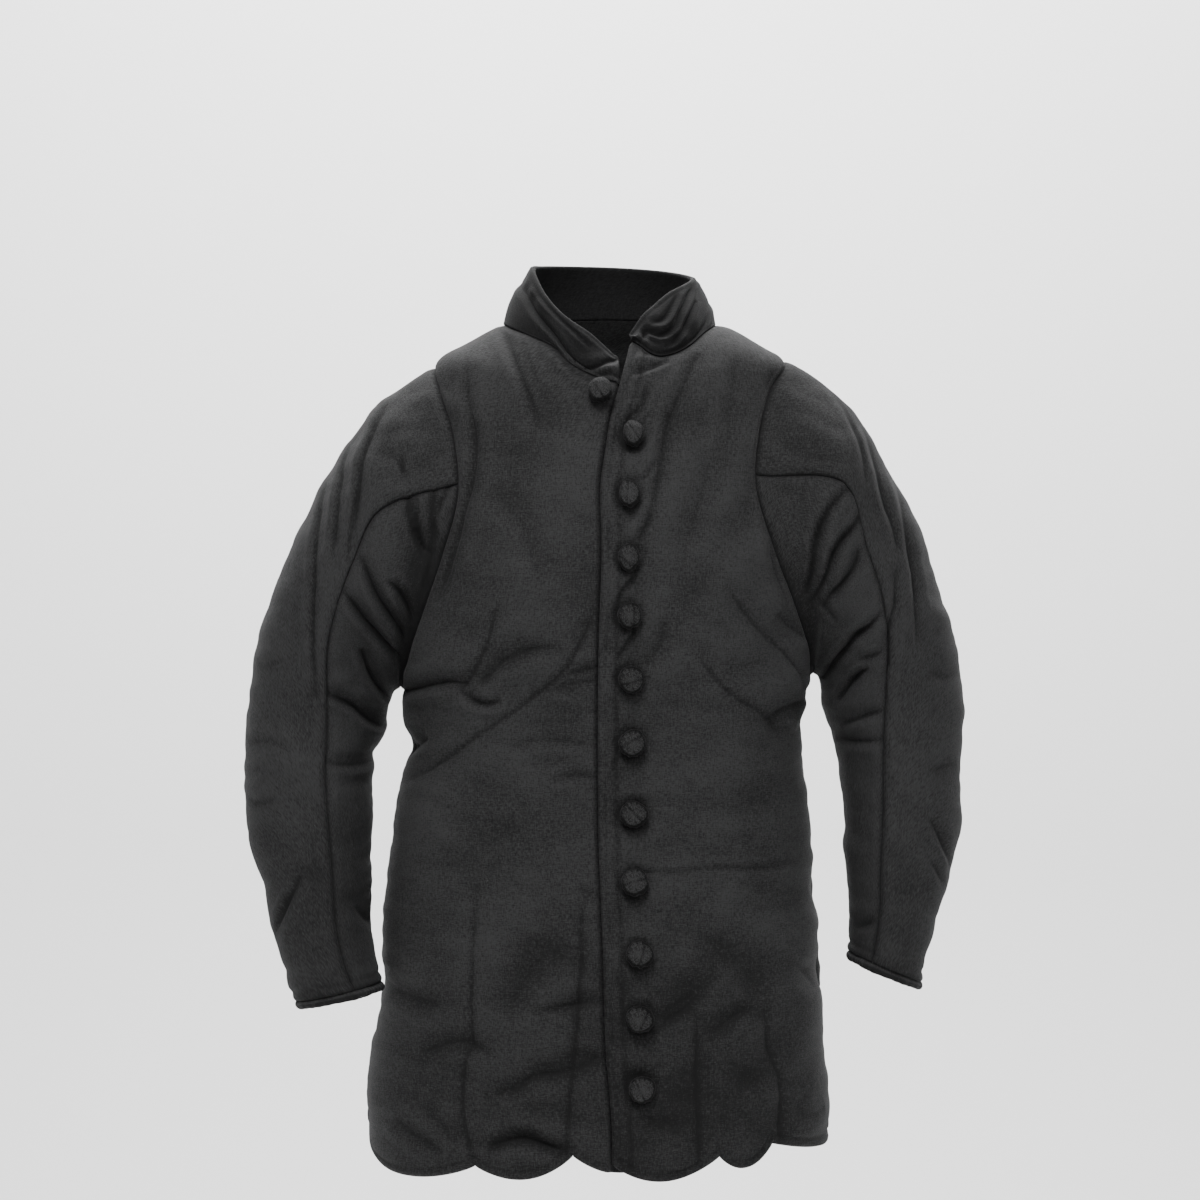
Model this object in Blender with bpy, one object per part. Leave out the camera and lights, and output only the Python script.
"""A padded gambeson coat, worn closed: two overlapping fronts, a back, a stand collar, sleeves cut in two,
rolled cuffs and twelve ball buttons. Metres, +Z up, the front faces -Y, and the origin is the middle of the
neck, level with the neck points of the shoulders. Right and left are the wearer's: right is -X."""

import math

import bpy
import numpy as np

# Cloth: two layers of wool over a thin batting, stitched through along the quilting lines.
WALL = 0.0055  # from the plain inside to the outer cloth on a quilting line
PUFF = 0.0020  # how far a channel stands above its quilting lines
STITCH_REACH = 0.009  # how far a quilting line pulls the channel down on each side of it
SEAM_GAP = 0.0003
ARMHOLE_TURN = 0.004  # how soon the sleeve's cloth has turned out of the body's surface
OVERLAP = 0.044  # how far the right front runs on under the left front
TUCK = 0.0076  # how far the right front dips to pass under the left front
TUCK_REACH = 0.024  # how far short of the left front's edge the dip begins
TUCK_DOWN = 0.003  # how far short of that edge the dip is at its full depth
EDGE_ROLL = 0.0012  # how far the left front's turned edge stands up
HEM_ROLL = 0.0012
SLEEVE_PUFF = 0.0012
SHARP_ANGLE = 50  # degrees between two faces, over which their edge is shaded sharp

BALL_RADIUS = 0.0122
BALL_HEIGHT = 0.0150
SHANK_RADIUS = 0.0035
SHANK_HEIGHT = 0.0016
BALL_FOOT = -62  # degrees below the ball's middle at which it runs into the shank
CUFF_ROLL_RADIUS = 0.0042
CUFF_ROLL_SIDES = 6

SKIRT_ROWS = 14
ARM_ROWS = 12
FRONT_COLUMNS = 14
BACK_COLUMNS = 22
SLEEVE_ROWS = 20
TOP_BLEND = 3  # the power of height by which a panel's columns bunch towards its neck and shoulder
RIM_ORDER = (0.21, 0.43, 1.0)  # a direction along which no two ends of a seam stretch are level
SLEEVE_SEAM = 5  # steps round the armhole from the shoulder point to the sleeve's own seams
COLLAR_ROWS = 3

# The body's level sections: half-width on each side, depth to the front and back, and squareness.
BODY_COLUMNS = ("height", "right", "left", "front", "back", "square")
BODY = np.array([
    (0.022, 0.078, 0.080, 0.034, 0.066, 2.0),
    (0.000, 0.093, 0.098, 0.058, 0.082, 2.0),
    (-0.015, 0.117, 0.125, 0.073, 0.093, 2.0),
    (-0.036, 0.153, 0.164, 0.090, 0.104, 2.0),
    (-0.060, 0.166, 0.168, 0.104, 0.112, 2.05),
    (-0.100, 0.172, 0.174, 0.118, 0.121, 2.1),
    (-0.150, 0.175, 0.177, 0.129, 0.125, 2.2),
    (-0.220, 0.179, 0.181, 0.135, 0.122, 2.25),
    (-0.290, 0.181, 0.183, 0.132, 0.112, 2.3),
    (-0.335, 0.183, 0.180, 0.127, 0.103, 2.3),
    (-0.378, 0.176, 0.171, 0.124, 0.099, 2.3),
    (-0.415, 0.183, 0.177, 0.125, 0.102, 2.3),
    (-0.470, 0.193, 0.181, 0.129, 0.112, 2.3),
    (-0.540, 0.199, 0.185, 0.135, 0.122, 2.3),
    (-0.610, 0.201, 0.191, 0.140, 0.129, 2.3),
    (-0.680, 0.212, 0.197, 0.144, 0.134, 2.3),
    (-0.760, 0.211, 0.198, 0.146, 0.137, 2.3),
])

# The armhole, a row for each step round it from the shoulder point (0) to the underarm (180 degrees):
# how far its edge lies round the body's section from the side, in degrees.
ARMHOLE_COLUMNS = ("round", "to_front", "to_back")
ARMHOLE = np.array([
    (0, 0.0, 0.0),
    (20, 10.5, 10.0),
    (40, 21.5, 20.0),
    (60, 30.5, 28.0),
    (80, 35.0, 32.0),
    (100, 30.5, 29.0),
    (120, 22.5, 22.0),
    (140, 13.0, 13.0),
    (160, 5.5, 6.0),
    (180, 0.0, 0.0),
])
SHOULDER_POINT = {"right": -0.038, "left": -0.032}
UNDERARM = {"right": -0.329, "left": -0.317}

# The left front's free edge, which laps over the right front, from the neck to the hem.
EDGE_COLUMNS = ("height", "across")
EDGE = np.array([
    (-0.0190, 0.0220),
    (-0.0405, 0.0167),
    (-0.0614, 0.0114),
    (-0.0874, 0.0043),
    (-0.1145, 0.0000),
    (-0.1440, -0.0043),
    (-0.2000, -0.0035),
    (-0.2820, -0.0060),
    (-0.3770, -0.0069),
    (-0.4630, -0.0060),
    (-0.5490, -0.0026),
    (-0.6350, 0.0000),
    (-0.7040, 0.0052),
    (-0.7600, 0.0052),
])

# The neckline on each front, from the centre to the neck point.
NECK_COLUMNS = ("across", "height")
NECK = {
    "right": np.array([
        (0.0420, -0.0600), (0.0105, -0.0575), (-0.0184, -0.0480), (-0.0316, -0.0400),
        (-0.0468, -0.0245), (-0.0684, -0.0130), (-0.0850, -0.0050), (-0.0930, 0.0000),
    ]),
    "left": np.array([
        (0.0220, -0.0190), (0.0308, -0.0250), (0.0370, -0.0300), (0.0450, -0.0330),
        (0.0575, -0.0310), (0.0735, -0.0220), (0.0870, -0.0090), (0.0980, 0.0000),
    ]),
}
NECK_SHARE = 0.62  # how much of a front's columns end on the neckline; the rest end on the shoulder seam
BACK_NECK_RISE = 0.012
BACK_NECK_SHARE = 0.56

# The collar's top edge, going round the neck from the right front end by the back to the left end.
COLLAR_COLUMNS = ("round", "radius", "height")
COLLAR_TOP = np.array([
    (-274, 0.0840, -0.0345),
    (-257, 0.0820, -0.0130),
    (-246, 0.0796, -0.0036),
    (-232, 0.0760, 0.0087),
    (-217, 0.0733, 0.0230),
    (-201, 0.0706, 0.0370),
    (-180, 0.0700, 0.0490),
    (-148, 0.0710, 0.0540),
    (-119, 0.0730, 0.0560),
    (-90, 0.0740, 0.0560),
    (-59, 0.0744, 0.0530),
    (-28, 0.0780, 0.0470),
    (-3, 0.0805, 0.0400),
    (15, 0.0747, 0.0330),
    (35, 0.0703, 0.0256),
    (51, 0.0698, 0.0139),
    (62, 0.0722, 0.0051),
    (73, 0.0750, -0.0080),
])
COLLAR_BELLY = 0.004
COLLAR_LEAN = 0.35  # how far the collar's wall leans out of level at its foot
COLLAR_START = 0.012  # how far across the right front the collar's end lies

# The sleeves' sections below the armhole: where the outline runs on the outer and the inner side, the
# half-depth, how far forward the middle lies, and the angle of the front and back seams from the outer side.
SLEEVE_COLUMNS = ("outer_x", "outer_z", "inner_x", "inner_z", "depth", "forward", "front_seam", "back_seam")
SLEEVE = {
    "right": np.array([
        (0.209, -0.0765, 0.1865, -0.3235, 0.093, 0.000, 76, 74),
        (0.2475, -0.1305, 0.1905, -0.3255, 0.088, 0.000, 82, 74),
        (0.277, -0.1845, 0.194, -0.3305, 0.082, -0.002, 87, 80),
        (0.299, -0.2385, 0.1975, -0.339, 0.076, -0.004, 92, 88),
        (0.314, -0.2925, 0.2005, -0.352, 0.070, -0.006, 100, 94),
        (0.3226, -0.3465, 0.205, -0.374, 0.065, -0.006, 106, 98),
        (0.326, -0.405, 0.2115, -0.402, 0.060, 0.002, 110, 100),
        (0.321, -0.4535, 0.2115, -0.444, 0.056, 0.012, 112, 102),
        (0.3085, -0.4980, 0.2115, -0.4885, 0.051, 0.024, 112, 102),
        (0.2965, -0.5413, 0.2118, -0.532, 0.046, 0.036, 112, 102),
        (0.282, -0.5802, 0.2065, -0.5674, 0.043, 0.052, 114, 102),
        (0.2752, -0.6008, 0.2000, -0.584, 0.042, 0.060, 116, 102),
    ]),
    "left": np.array([
        (0.2196, -0.0765, 0.186, -0.3115, 0.093, 0.000, 66, 74),
        (0.253, -0.1305, 0.190, -0.3135, 0.088, 0.000, 78, 74),
        (0.280, -0.1845, 0.193, -0.319, 0.082, -0.002, 83, 80),
        (0.299, -0.2385, 0.1955, -0.329, 0.076, -0.004, 90, 88),
        (0.314, -0.2925, 0.199, -0.345, 0.070, -0.006, 100, 94),
        (0.3195, -0.3465, 0.203, -0.365, 0.065, -0.006, 106, 98),
        (0.318, -0.405, 0.208, -0.392, 0.060, 0.002, 110, 100),
        (0.3145, -0.4535, 0.2112, -0.431, 0.056, 0.012, 112, 102),
        (0.302, -0.4980, 0.2135, -0.4705, 0.051, 0.024, 112, 102),
        (0.2900, -0.5413, 0.2165, -0.5112, 0.046, 0.036, 112, 102),
        (0.282, -0.5684, 0.2150, -0.5437, 0.043, 0.047, 114, 102),
        (0.2782, -0.5841, 0.2140, -0.5575, 0.042, 0.053, 116, 102),
    ]),
}

# The hem hangs in scallops. A row for each notch, from the centre of a front to its side seam, or across the
# back from left to right: how far across, its height, and how far the scallop after it drops.
HEM_COLUMNS = ("across", "height", "drop")
HEM = {
    "right": np.array([
        (0.049, -0.7270, 0.0150),
        (-0.030, -0.7245, 0.0165),
        (-0.115, -0.7355, 0.0210),
        (-0.211, -0.7220, 0.0),
    ]),
    "left": np.array([
        (0.005, -0.7330, 0.0180),
        (0.098, -0.7265, 0.0160),
        (0.144, -0.7190, 0.0050),
        (0.198, -0.7290, 0.0),
    ]),
    "back": np.array([
        (0.198, -0.7290, 0.0080),
        (0.136, -0.7160, 0.0210),
        (0.046, -0.7170, 0.0210),
        (-0.048, -0.7150, 0.0220),
        (-0.139, -0.7180, 0.0130),
        (-0.211, -0.7220, 0.0),
    ]),
}
BACK_NOTCH_SHARES = (0, 0.19, 0.405, 0.6, 0.81, 1)
SCALLOP_FULLNESS = 0.8  # under 1, a scallop is rounder than half a wave
WAIST_HEIGHT = -0.345

# Quilting lines, each a row of places (across, height) seen from the front or the back.
QUILTING = {
    "right": (
        ((-0.0086, -0.251), (-0.0285, -0.296), (-0.0475, -0.319), (-0.0785, -0.343), (-0.1125, -0.367),
         (-0.1440, -0.389), (-0.1820, -0.412)),
        ((-0.0948, -0.251), (-0.1108, -0.300), (-0.1326, -0.332)),
        ((-0.1150, -0.480), (-0.1140, -0.620), (-0.1190, -0.690), (-0.1150, -0.760)),
        ((-0.0185, -0.480), (-0.0250, -0.600), (-0.0330, -0.680), (-0.0300, -0.760)),
    ),
    "left": (
        ((0.1054, -0.237), (0.1307, -0.270), (0.1568, -0.295), (0.1723, -0.319)),
        ((0.0807, -0.296), (0.1020, -0.324), (0.1403, -0.352)),
        ((0.0880, -0.560), (0.0920, -0.680), (0.0980, -0.760)),
        ((0.1370, -0.560), (0.1440, -0.680), (0.1440, -0.760)),
    ),
    "back": (
        ((-0.1240, -0.300), (-0.1300, -0.760)),
        ((-0.0440, -0.120), (-0.0470, -0.760)),
        ((0.0440, -0.120), (0.0470, -0.760)),
        ((0.1240, -0.300), (0.1300, -0.760)),
    ),
}

# The largest folds on the fronts, as troughs (down) and ridges (up) seen from the front.
FOLD_COLUMNS = ("x0", "z0", "x1", "z1", "width", "lift")
FOLDS = {
    "right": np.array([
        (-0.118, -0.322, -0.062, -0.285, 0.016, -0.0026),
        (-0.175, -0.335, -0.122, -0.325, 0.012, -0.0028),
        (-0.110, -0.300, -0.060, -0.270, 0.016, 0.0030),
        (-0.085, -0.020, -0.068, -0.085, 0.010, -0.0022),
        (-0.070, -0.590, -0.030, -0.550, 0.022, -0.0024),
        (-0.155, -0.625, -0.110, -0.635, 0.014, -0.0020),
    ]),
    "left": np.array([
        (0.075, -0.045, 0.040, -0.170, 0.012, -0.0024),
        (0.034, -0.380, 0.170, -0.468, 0.010, -0.0014),
        (0.095, -0.560, 0.130, -0.610, 0.020, -0.0022),
        (0.145, -0.345, 0.168, -0.350, 0.014, -0.0026),
    ]),
}

# A row for each button: across and height on the front. The first sits on the right front, undone.
BUTTON_COLUMNS = ("across", "height")
BUTTONS = np.array([
    (-0.0060, -0.0690),
    (0.0217, -0.1050),
    (0.0190, -0.1560),
    (0.0190, -0.2104),
    (0.0181, -0.2604),
    (0.0198, -0.3148),
    (0.0207, -0.3716),
    (0.0224, -0.4330),
    (0.0233, -0.4930),
    (0.0267, -0.5543),
    (0.0284, -0.6085),
    (0.0293, -0.6680),
])
BALL_SIDES = 10
BALL_RINGS = 6

WOOL = (0.033, 0.033, 0.035)
WOOL_DARK = (0.022, 0.022, 0.024)


def through(table, columns, name, at):
    """A smooth curve through one column of a table against its first column, read at given places."""
    order = np.argsort(table[:, 0])
    x, y = table[order, 0], table[order, columns.index(name)]
    slope = np.gradient(y, x)
    at = np.clip(np.asarray(at, float), x[0], x[-1])
    i = np.clip(np.searchsorted(x, at) - 1, 0, len(x) - 2)
    step = x[i + 1] - x[i]
    t = (at - x[i]) / step
    return (
        (1 + 2 * t) * (1 - t) ** 2 * y[i]
        + t * (1 - t) ** 2 * step * slope[i]
        + t * t * (3 - 2 * t) * y[i + 1]
        + t * t * (t - 1) * step * slope[i + 1]
    )


def along(points, at):
    """A smooth curve through a row of points, by share of its length, read at shares from 0 to 1."""
    points = np.asarray(points, float)
    reach = np.concatenate([[0], np.cumsum(np.linalg.norm(np.diff(points, axis=0), axis=1))])
    table = np.column_stack([reach / reach[-1], points])
    names = tuple(range(table.shape[1]))
    return np.stack([through(table, names, k, at) for k in names[1:]], axis=-1)


def smoothstep(t):
    t = np.clip(t, 0, 1)
    return t * t * (3 - 2 * t)


def body_size(column, height):
    return through(BODY, BODY_COLUMNS, column, height)


def body_point(angle, height):
    """A point of the body form: angle round it from +X, in radians, front at -90 degrees."""
    c, s = np.cos(angle), np.sin(angle)
    half = np.where(c < 0, body_size("right", height), body_size("left", height))
    deep = np.where(s < 0, body_size("front", height), body_size("back", height))
    p = body_size("square", height)
    r = ((np.abs(c) / half) ** p + (np.abs(s) / deep) ** p) ** (-1 / p)
    return np.stack([r * c, r * s, np.asarray(height) + 0 * r], axis=-1)


def body_normal(angle, height):
    d = 1e-4
    round_it = body_point(angle + d, height) - body_point(angle - d, height)
    up = body_point(angle, height + d) - body_point(angle, height - d)
    n = np.cross(round_it, up)
    return n / np.linalg.norm(n, axis=-1, keepdims=True)


def angle_at(x, height):
    """The angle round the front where the body form lies that far across."""
    half = np.where(np.asarray(x) < 0, body_size("right", height), body_size("left", height))
    p = body_size("square", height)
    y = -body_size("front", height) * np.clip(1 - (np.abs(x) / half) ** p, 0, 1) ** (1 / p)
    return np.arctan2(y, x)


def armhole(side, face, turn):
    """Angle and height of the armhole's edge: turn in degrees from the shoulder point to the underarm."""
    top, low = SHOULDER_POINT[side], UNDERARM[side]
    height = (top + low) / 2 + (top - low) / 2 * np.cos(np.radians(turn))
    off = np.radians(through(ARMHOLE, ARMHOLE_COLUMNS, "to_front" if face == "front" else "to_back", turn))
    off = -off if face == "front" else off
    return (off if side == "left" else np.pi - off), height


def patch(bottom, top, first, last, columns):
    """A panel's grid of (angle, height) from its four edges, rows from bottom to top.

    Heights are a Coons patch. Angles run from the first to the last edge of each row, by the columns' shares,
    which turn into the top edge's own shares near the top."""
    u, v = columns[None, :], np.linspace(0, 1, len(first))[:, None]
    top_share = (top[:, 0] - top[0, 0]) / (top[-1, 0] - top[0, 0])
    share = u + v**TOP_BLEND * (top_share - u)
    angle = first[:, :1] + (last[:, :1] - first[:, :1]) * share
    low, high, left, right = bottom[:, 1], top[:, 1], first[:, 1:], last[:, 1:]
    corners = (1 - u) * (1 - v) * low[0] + u * (1 - v) * low[-1] + (1 - u) * v * high[0] + u * v * high[-1]
    height = (1 - v) * low + v * high + (1 - u) * left + u * right - corners
    return np.stack([angle, height], axis=-1)


def spread(wanted, count):
    """Column shares from 0 to 1: the wanted ones, with the rest shared out evenly between them."""
    wanted = np.unique(np.concatenate([[0, 1], wanted]))
    gaps = np.diff(wanted)
    parts = np.ones(len(gaps), int)
    while parts.sum() < count:
        parts[np.argmax(gaps / parts)] += 1
    pieces = [np.linspace(a, b, n, endpoint=False) for a, b, n in zip(wanted, wanted[1:], parts)]
    return np.concatenate([*pieces, [1.0]])


def hem_heights(panel, columns, notches):
    """The hem's height at each column: level between the notches, less the scallop's drop."""
    k = np.clip(np.searchsorted(notches, columns, side="right") - 1, 0, len(notches) - 2)
    low, high = np.take(notches, k), np.take(notches, k + 1)
    hang = np.sin(np.pi * np.clip((columns - low) / (high - low), 0, 1)) ** SCALLOP_FULLNESS
    return np.interp(columns, notches, HEM[panel][:, 1]) - HEM[panel][k, 2] * hang


def side_edge(side, face):
    """Angles and heights up a panel's side seam and round its armhole to the shoulder point."""
    heights = np.linspace(HEM[side][-1, 1], UNDERARM[side], SKIRT_ROWS + 1)[:-1]
    seam = np.stack([np.full(len(heights), 0.0 if side == "left" else np.pi), heights], axis=-1)
    hole = np.stack(armhole(side, face, np.linspace(180, 0, ARM_ROWS + 1)), axis=-1)
    edge = np.concatenate([seam, hole])
    if side == "right" and face == "front":
        edge[:, 0] -= 2 * np.pi
    return edge


def front_edge(side, heights):
    """How far across a front's free edge lies: the right front runs on under the left one."""
    return through(EDGE, EDGE_COLUMNS, "across", heights) + (OVERLAP if side == "right" else 0)


def front_columns(side):
    """Shares of the front's hem: the notches, the neck point and, on the right, the left front's edge."""
    hem = HEM[side][0, 1]
    start = angle_at(front_edge(side, hem), hem)
    end = 0.0 if side == "left" else -np.pi
    notches = (angle_at(HEM[side][1:-1, 0], hem) - start) / (end - start)
    return spread([*notches, NECK_SHARE], FRONT_COLUMNS), np.array([0, *notches, 1])


def front_grid(side):
    """Angles and heights of one front, hem to neck and shoulder, free edge to side seam and armhole."""
    columns, notches = front_columns(side)
    neck, last = NECK[side], side_edge(side, "front")
    heights = np.concatenate([
        np.linspace(HEM[side][0, 1], WAIST_HEIGHT, SKIRT_ROWS + 1)[:-1],
        np.linspace(WAIST_HEIGHT, neck[0, 1], ARM_ROWS + 1),
    ])
    across = front_edge(side, heights)
    across[-1] = neck[0, 0]
    first = np.stack([angle_at(across, heights), heights], axis=-1)
    bottom = np.stack([
        first[0, 0] + (last[0, 0] - first[0, 0]) * columns,
        hem_heights(side, columns, notches),
    ], axis=-1)
    on_neck = columns <= NECK_SHARE + 1e-9
    line = along(neck, columns[on_neck] / NECK_SHARE)
    line = np.stack([angle_at(line[:, 0], line[:, 1]), line[:, 1]], axis=-1)
    line[-1] = last[0, 0], 0
    down = (columns[~on_neck] - NECK_SHARE) / (1 - NECK_SHARE)
    seam = np.stack([np.full(down.shape, last[0, 0]), SHOULDER_POINT[side] * down], axis=-1)
    return patch(bottom, np.concatenate([line, seam]), first, last, columns), len(line)


def back_grid():
    """Angles and heights of the back, from its left side edge to its right one."""
    share = (1 - BACK_NECK_SHARE) / 2
    columns = spread([share, 1 - share, *BACK_NOTCH_SHARES], BACK_COLUMNS)
    first, last = side_edge("left", "back"), side_edge("right", "back")
    bottom = np.stack([np.pi * columns, hem_heights("back", columns, BACK_NOTCH_SHARES)], axis=-1)
    angle = np.pi * np.clip((columns - share) / BACK_NECK_SHARE, 0, 1)
    height = (
        BACK_NECK_RISE * np.sin(angle)
        + SHOULDER_POINT["left"] * np.clip(1 - columns / share, 0, 1)
        + SHOULDER_POINT["right"] * np.clip(1 - (1 - columns) / share, 0, 1)
    )
    neck = np.flatnonzero((columns > share - 1e-9) & (columns < 1 - share + 1e-9))
    return patch(bottom, np.stack([angle, height], axis=-1), first, last, columns), neck


def from_line(x, z, line):
    """Distance in the picture plane (across, height) from a row of straight stretches."""
    line = np.array(line)
    best = np.full(np.shape(x), np.inf)
    for (x0, z0), (x1, z1) in zip(line, line[1:]):
        dx, dz = x1 - x0, z1 - z0
        t = np.clip(((x - x0) * dx + (z - z0) * dz) / (dx * dx + dz * dz), 0, 1)
        best = np.minimum(best, np.hypot(x - x0 - t * dx, z - z0 - t * dz))
    return best


def relief(panel, base):
    """How far the outer cloth stands off the body form: channels between quilting lines, and large folds."""
    x, z = base[..., 0], base[..., 2]
    away = np.min([from_line(x, z, line) for line in QUILTING[panel]], axis=0)
    lift = PUFF * (1 - np.exp(-((away / STITCH_REACH) ** 2)))
    for x0, z0, x1, z1, width, depth in FOLDS.get(panel, ()):
        lift += depth * np.exp(-((from_line(x, z, ((x0, z0), (x1, z1))) / width) ** 2))
    return lift


def tuck_at(base):
    """How far the right front, and what is sewn to it, dips to pass under the left front's edge."""
    past = base[..., 0] - through(EDGE, EDGE_COLUMNS, "across", base[..., 2])
    return TUCK * smoothstep((past + TUCK_REACH) / (TUCK_REACH - TUCK_DOWN))


def edge_shift(line, normals, inside):
    """Unit steps in the cloth, square to an edge, towards the inside points."""
    tangent = np.gradient(line, axis=0)
    step = np.cross(normals, tangent)
    step /= np.linalg.norm(step, axis=-1, keepdims=True)
    return step * np.sign((step * (inside - line)).sum(-1, keepdims=True))


def make_material(name, colour, rough=0.92):
    material = bpy.data.materials.new(name)
    material.use_nodes = True
    shader = material.node_tree.nodes["Principled BSDF"]
    shader.inputs["Base Color"].default_value = (*colour, 1)
    shader.inputs["Roughness"].default_value = rough
    shader.inputs["Metallic"].default_value = 0
    return material


def make_object(name, points, faces, material):
    """One closed mesh with its faces pointing out, shaded smooth but for its edges."""
    mesh = bpy.data.meshes.new(name)
    mesh.from_pydata([tuple(p) for p in points], [], faces)
    mesh.calc_loop_triangles()
    corners = np.asarray(points)[np.array([t.vertices for t in mesh.loop_triangles])]
    if np.linalg.det(corners).sum() < 0:
        mesh.flip_normals()
    mesh.materials.append(material)
    mesh.shade_smooth()
    mesh.set_sharp_from_angle(angle=math.radians(SHARP_ANGLE))
    thing = bpy.data.objects.new(name, mesh)
    bpy.context.scene.collection.objects.link(thing)


def make_wall(name, outer, inner, material):
    """A panel of cloth: an outer and an inner grid of the same size, closed round the rim."""
    rows, cols = outer.shape[:2]
    half = rows * cols
    at = np.arange(half).reshape(rows, cols)
    faces = []
    for r in range(rows - 1):
        for c in range(cols - 1):
            quad = (at[r, c], at[r, c + 1], at[r + 1, c + 1], at[r + 1, c])
            faces.append(tuple(int(i) for i in quad))
            faces.append(tuple(int(i) + half for i in quad[::-1]))
    points = np.concatenate([outer.reshape(-1, 3), inner.reshape(-1, 3)])
    rim = [int(i) for i in (*at[0], *at[1:, -1], *at[-1, -2::-1], *at[-2:0:-1, 0])]
    for a, b in zip(rim, rim[1:] + rim[:1]):
        # Both sides of a seam split their rim the same way, from its lower end, so they stay parallel.
        low_first = points[b] @ RIM_ORDER < points[a] @ RIM_ORDER
        faces.append((b, a, a + half, b + half) if low_first else (a, a + half, b + half, b))
    make_object(name, points, faces, material)


def shrink_rim(outer, inner, normals, sides):
    """Draws the panel's sewn edges back by half a seam gap: sides of 'first', 'last', 'bottom' and 'top'."""
    cut = {"first": (np.s_[:, 0], np.s_[:, 1]), "last": (np.s_[:, -1], np.s_[:, -2]),
           "bottom": (np.s_[0], np.s_[1]), "top": (np.s_[-1], np.s_[-2])}
    steps = [(cut[s][0], edge_shift(outer[cut[s][0]], normals[cut[s][0]], outer[cut[s][1]])) for s in sides]
    for where, step in steps:
        outer[where] += step * SEAM_GAP / 2
        inner[where] += step * SEAM_GAP / 2


def body_panel(name, grid, panel, sides, material):
    """A front or back: the body form's points, the inner ones moved in and the outer ones by the relief."""
    base, normals = body_point(grid[..., 0], grid[..., 1]), body_normal(grid[..., 0], grid[..., 1])
    tuck = tuck_at(base) if panel == "right" else 0 * base[..., 0]
    lift = relief(panel, base) * (1 - tuck / TUCK)
    lift[:, -1] = 0
    if panel == "back":
        lift[:, 0] = 0
    lift[-1] = 0
    lift[0] = HEM_ROLL
    if panel == "left":
        lift[:, 0] = EDGE_ROLL
    outer = base + normals * (lift - tuck)[..., None]
    inner = base - normals * (WALL + tuck)[..., None]
    shrink_rim(outer, inner, normals, sides)
    make_wall(name, outer, inner, material)


def armhole_loop(side):
    """Round the armhole from the underarm by the front: turns in degrees, points, normals and inward steps.

    A turn counts from the shoulder point, negative to the front. Inward steps lie in the body's surface."""
    turns = np.linspace(-180, 180, 2 * ARM_ROWS, endpoint=False)
    angle, height = np.array([armhole(side, "front" if t < 0 else "back", abs(t)) for t in turns], float).T
    line, normals = body_point(angle, height), body_normal(angle, height)
    step = np.cross(normals, np.roll(line, -1, axis=0) - np.roll(line, 1, axis=0))
    step /= np.linalg.norm(step, axis=-1, keepdims=True)
    step *= np.sign((step * (line.mean(0) - line)).sum(-1, keepdims=True))
    return turns, line, normals, step


def sleeve_rings(side):
    """The sleeve's points and outward directions, ring by ring: one at the armhole, one where the cloth has
    turned out of it, and one for each row of the table."""
    sign = 1 if side == "left" else -1
    turns, line, normals, into = armhole_loop(side)
    rings, outward = [line], [normals]
    seam = SLEEVE_SEAM * 180 / ARM_ROWS
    for outer_x, outer_z, inner_x, inner_z, depth, forward, front_seam, back_seam in SLEEVE[side]:
        wide = np.where(turns < 0, front_seam, back_seam)
        a = np.abs(turns)
        a = np.where(a <= seam, a * wide / seam, wide + (a - seam) * (180 - wide) / (180 - seam))
        a = np.radians(a) * np.sign(turns)
        middle = np.array([(outer_x + inner_x) / 2 * sign, -forward, (outer_z + inner_z) / 2])
        reach = np.array([(outer_x - inner_x) / 2 * sign, 0, (outer_z - inner_z) / 2])
        deep = np.array([0, depth, 0])
        rings.append(middle + np.cos(a)[:, None] * reach + np.sin(a)[:, None] * deep)
        n = np.cos(a)[:, None] * reach / (reach @ reach) + np.sin(a)[:, None] * deep / depth**2
        outward.append(n / np.linalg.norm(n, axis=1, keepdims=True))
    leave = rings[1] - rings[0]
    leave /= np.linalg.norm(leave, axis=1, keepdims=True)
    turned = outward[0] + outward[1]
    rings.insert(1, line + (into / 2 + leave) * ARMHOLE_TURN)
    outward.insert(1, turned / np.linalg.norm(turned, axis=1, keepdims=True))
    return np.array(rings), np.array(outward), into


def read_rings(where, rings, rows):
    """The rings' smooth surface, read at the mesh's rows."""
    names = tuple(range(rings.shape[1] * 3 + 1))
    table = np.column_stack([where, rings.reshape(len(rings), -1)])
    return np.stack([through(table, names, k, rows) for k in names[1:]], axis=-1).reshape(len(rows), -1, 3)


def make_sleeve(side, material):
    """A sleeve in two pieces, upper and under, from the armhole to the cuff, with seams front and back."""
    rings, outward, into = sleeve_rings(side)
    steps = np.linalg.norm(np.diff(rings, axis=0), axis=2).mean(1)
    where = np.concatenate([[0], np.cumsum(steps)])
    rows = np.concatenate([[0], np.linspace(where[1], where[-1], SLEEVE_ROWS)])
    surface, normals = read_rings(where, rings, rows), read_rings(where, outward, rows)
    normals /= np.linalg.norm(normals, axis=-1, keepdims=True)
    count = 2 * ARM_ROWS
    seams = ARM_ROWS - SLEEVE_SEAM, ARM_ROWS + SLEEVE_SEAM
    for name, first, last in (("upper", *seams), ("under", seams[1], seams[0] + count)):
        columns = np.arange(first, last + 1) % count
        base, n = surface[:, columns], normals[:, columns]
        lift = np.full(base.shape[:2], SLEEVE_PUFF)
        lift[:2], lift[-1], lift[:, 0], lift[:, -1] = 0, 0, 0, 0
        inner = base - n * WALL
        outer = base + n * lift[..., None]
        for wall in (outer, inner):
            wall[0] += into[columns] * SEAM_GAP / 2
        shrink_rim(outer, inner, n, ("first", "last"))
        make_wall(f"{name}_sleeve_{side}", outer, inner, material)


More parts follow.
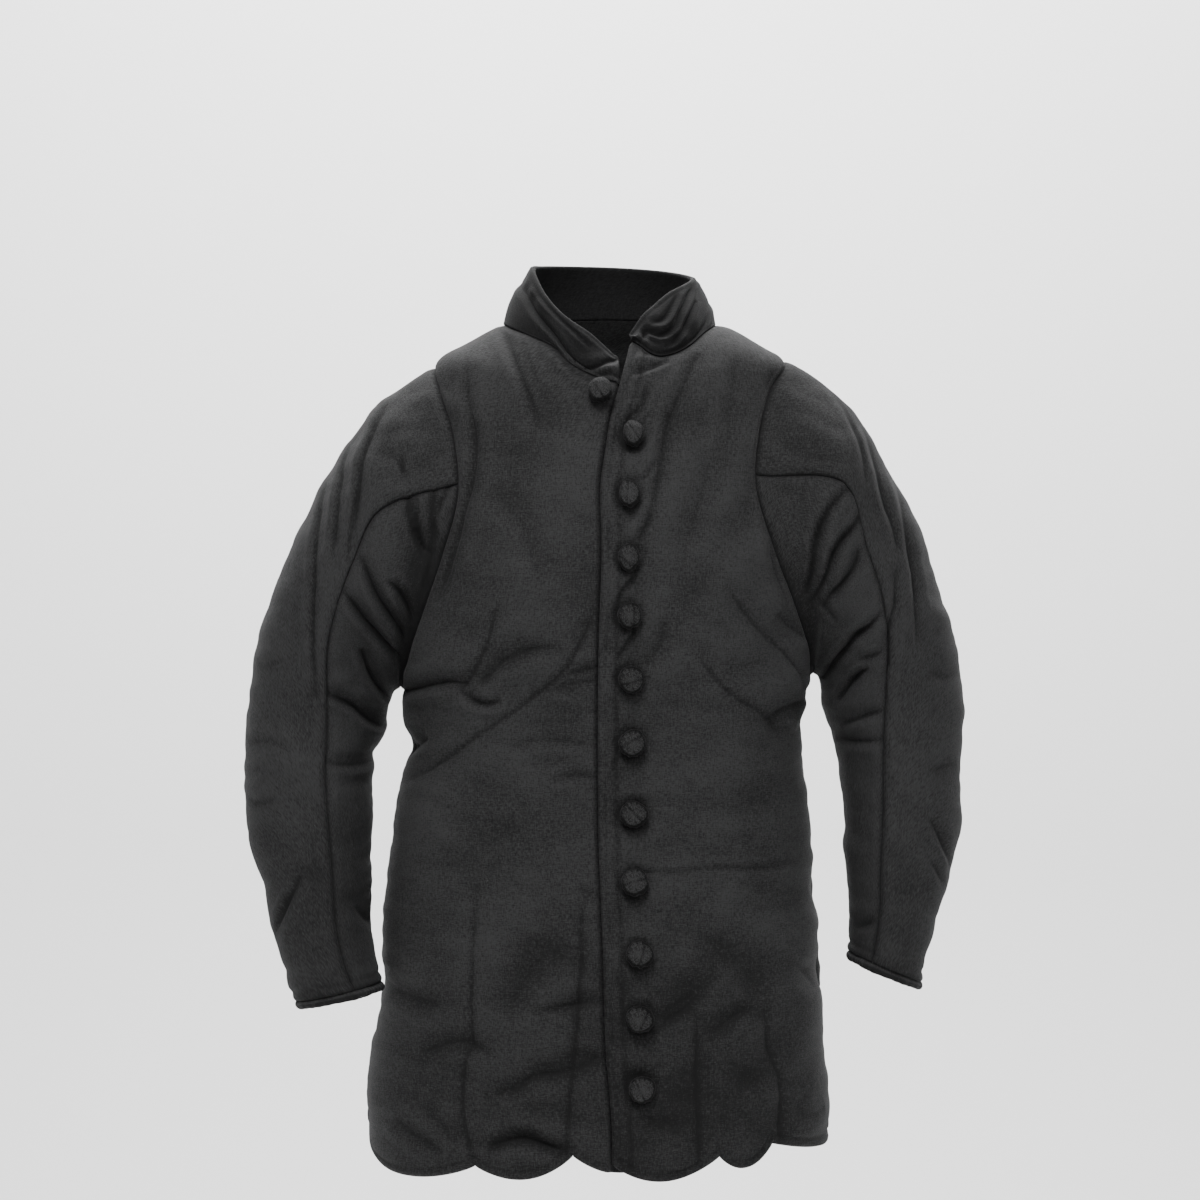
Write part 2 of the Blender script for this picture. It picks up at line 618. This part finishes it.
def make_cuff(side, material):
    """A roll of the sleeve's own cloth round the end of the cuff."""
    rings, outward, _ = sleeve_rings(side)
    along_arm = (rings[-1] - rings[-2]).mean(0)
    along_arm /= np.linalg.norm(along_arm)
    middle = rings[-1] - outward[-1] * WALL / 2 + along_arm * (CUFF_ROLL_RADIUS + SEAM_GAP)
    around = 2 * np.pi * (np.arange(CUFF_ROLL_SIDES) + 0.5) / CUFF_ROLL_SIDES
    ring = middle[:, None] + CUFF_ROLL_RADIUS * (
        np.cos(around)[None, :, None] * outward[-1][:, None] + np.sin(around)[None, :, None] * along_arm
    )
    at = np.arange(ring.shape[0] * ring.shape[1]).reshape(ring.shape[:2])
    on, over = np.roll(at, -1, axis=0), np.roll(at, -1, axis=1)
    faces = np.stack([at, over, np.roll(on, -1, axis=1), on], axis=-1).reshape(-1, 4).tolist()
    make_object(f"cuff_roll_{side}", ring.reshape(-1, 3), faces, material)


def make_collar(right, left, back, material):
    """A stand collar on the three neck edges, given as angles and heights going round by the back."""
    edge = np.concatenate([right, back, left])
    base, normals = body_point(edge[:, 0], edge[:, 1]), body_normal(edge[:, 0], edge[:, 1])
    angle = np.degrees(np.unwrap(np.arctan2(base[:, 1], base[:, 0]) % (2 * np.pi)))
    radius = through(COLLAR_TOP, COLLAR_COLUMNS, "radius", -angle)
    height = through(COLLAR_TOP, COLLAR_COLUMNS, "height", -angle)
    a = np.radians(angle)
    level = np.stack([np.cos(a), np.sin(a), 0 * a], axis=-1)
    top = level * radius[:, None] + np.array([0, 0, 1]) * height[:, None]
    up = edge_shift(base, normals, top)
    share = np.linspace(0, 1, COLLAR_ROWS + 1)[:, None, None]
    sewn = np.arange(len(edge)) < len(right)
    base = base - normals * (tuck_at(base) * sewn)[:, None]
    outer = (1 - share) * base + share * top + level * COLLAR_BELLY * np.sin(np.pi * share)
    out = level * (1 - COLLAR_LEAN * (1 - share)) + np.array([0, 0, COLLAR_LEAN]) * (1 - share)
    out[0] = normals
    out /= np.linalg.norm(out, axis=-1, keepdims=True)
    outer[0] += up * SEAM_GAP / 2
    inner = outer - out * WALL
    make_wall("collar", outer, inner, material)


def make_button(name, place, normal, material):
    """A ball of cloth gathered over a filling, on a short shank: a turned shape along the cloth's normal."""
    half = BALL_HEIGHT / 2
    tilt = np.radians(np.linspace(BALL_FOOT, 90, BALL_RINGS + 1))[:-1]
    radii = [SHANK_RADIUS, *(BALL_RADIUS * np.cos(tilt))]
    heights = [SEAM_GAP, *(SHANK_HEIGHT + half + half * np.sin(tilt))]
    across = np.cross(normal, (0, 0, 1))
    across /= np.linalg.norm(across)
    up = np.cross(across, normal)
    turn = np.radians(np.arange(BALL_SIDES) * 360 / BALL_SIDES)
    rings = [
        place + normal * h + r * (np.cos(turn)[:, None] * across + np.sin(turn)[:, None] * up)
        for r, h in zip(radii, heights)
    ]
    points = np.concatenate([*rings, [place + normal * (SHANK_HEIGHT + BALL_HEIGHT)]])
    at = np.arange(len(points) - 1).reshape(-1, BALL_SIDES)
    over = np.roll(at, -1, axis=1)
    bands = np.stack([at[:-1], at[1:], over[1:], over[:-1]], axis=-1).reshape(-1, 4).tolist()
    crown = [(int(a), len(points) - 1, int(b)) for a, b in zip(at[-1], over[-1])]
    make_object(name, points, [at[0].tolist(), *bands, *crown], material)


def main():
    for thing in list(bpy.data.objects):
        bpy.data.objects.remove(thing)
    wool, dark = make_material("wool", WOOL), make_material("wool_shaded", WOOL_DARK)
    right, right_neck = front_grid("right")
    left, left_neck = front_grid("left")
    back, back_neck = back_grid()
    body_panel("front_right", right, "right", ("last", "top"), wool)
    body_panel("front_left", left, "left", ("last", "top"), wool)
    body_panel("back", back, "back", ("first", "last", "top"), wool)
    for side in ("right", "left"):
        make_sleeve(side, wool)
        make_cuff(side, wool)
    # The collar starts at the left front's edge on the right side, and at its corner on the left.
    neck = right[-1, :right_neck]
    collar_right = neck[body_point(neck[:, 0], neck[:, 1])[:, 0] < COLLAR_START] + (2 * np.pi, 0)
    collar_left = left[-1, :left_neck][::-1]
    collar_back = back[-1, back_neck][::-1]
    make_collar(collar_right, collar_left[1:], collar_back[1:], dark)
    for k, (across, height) in enumerate(BUTTONS):
        panel = "right" if k == 0 else "left"
        angle = angle_at(across, height)
        place, normal = body_point(angle, height), body_normal(angle, height)
        lift = float(relief(panel, place))
        if k == 0:
            lift -= float(tuck_at(place))
        make_button(f"button_{k + 1:02d}", place + normal * lift, normal, dark)


main()
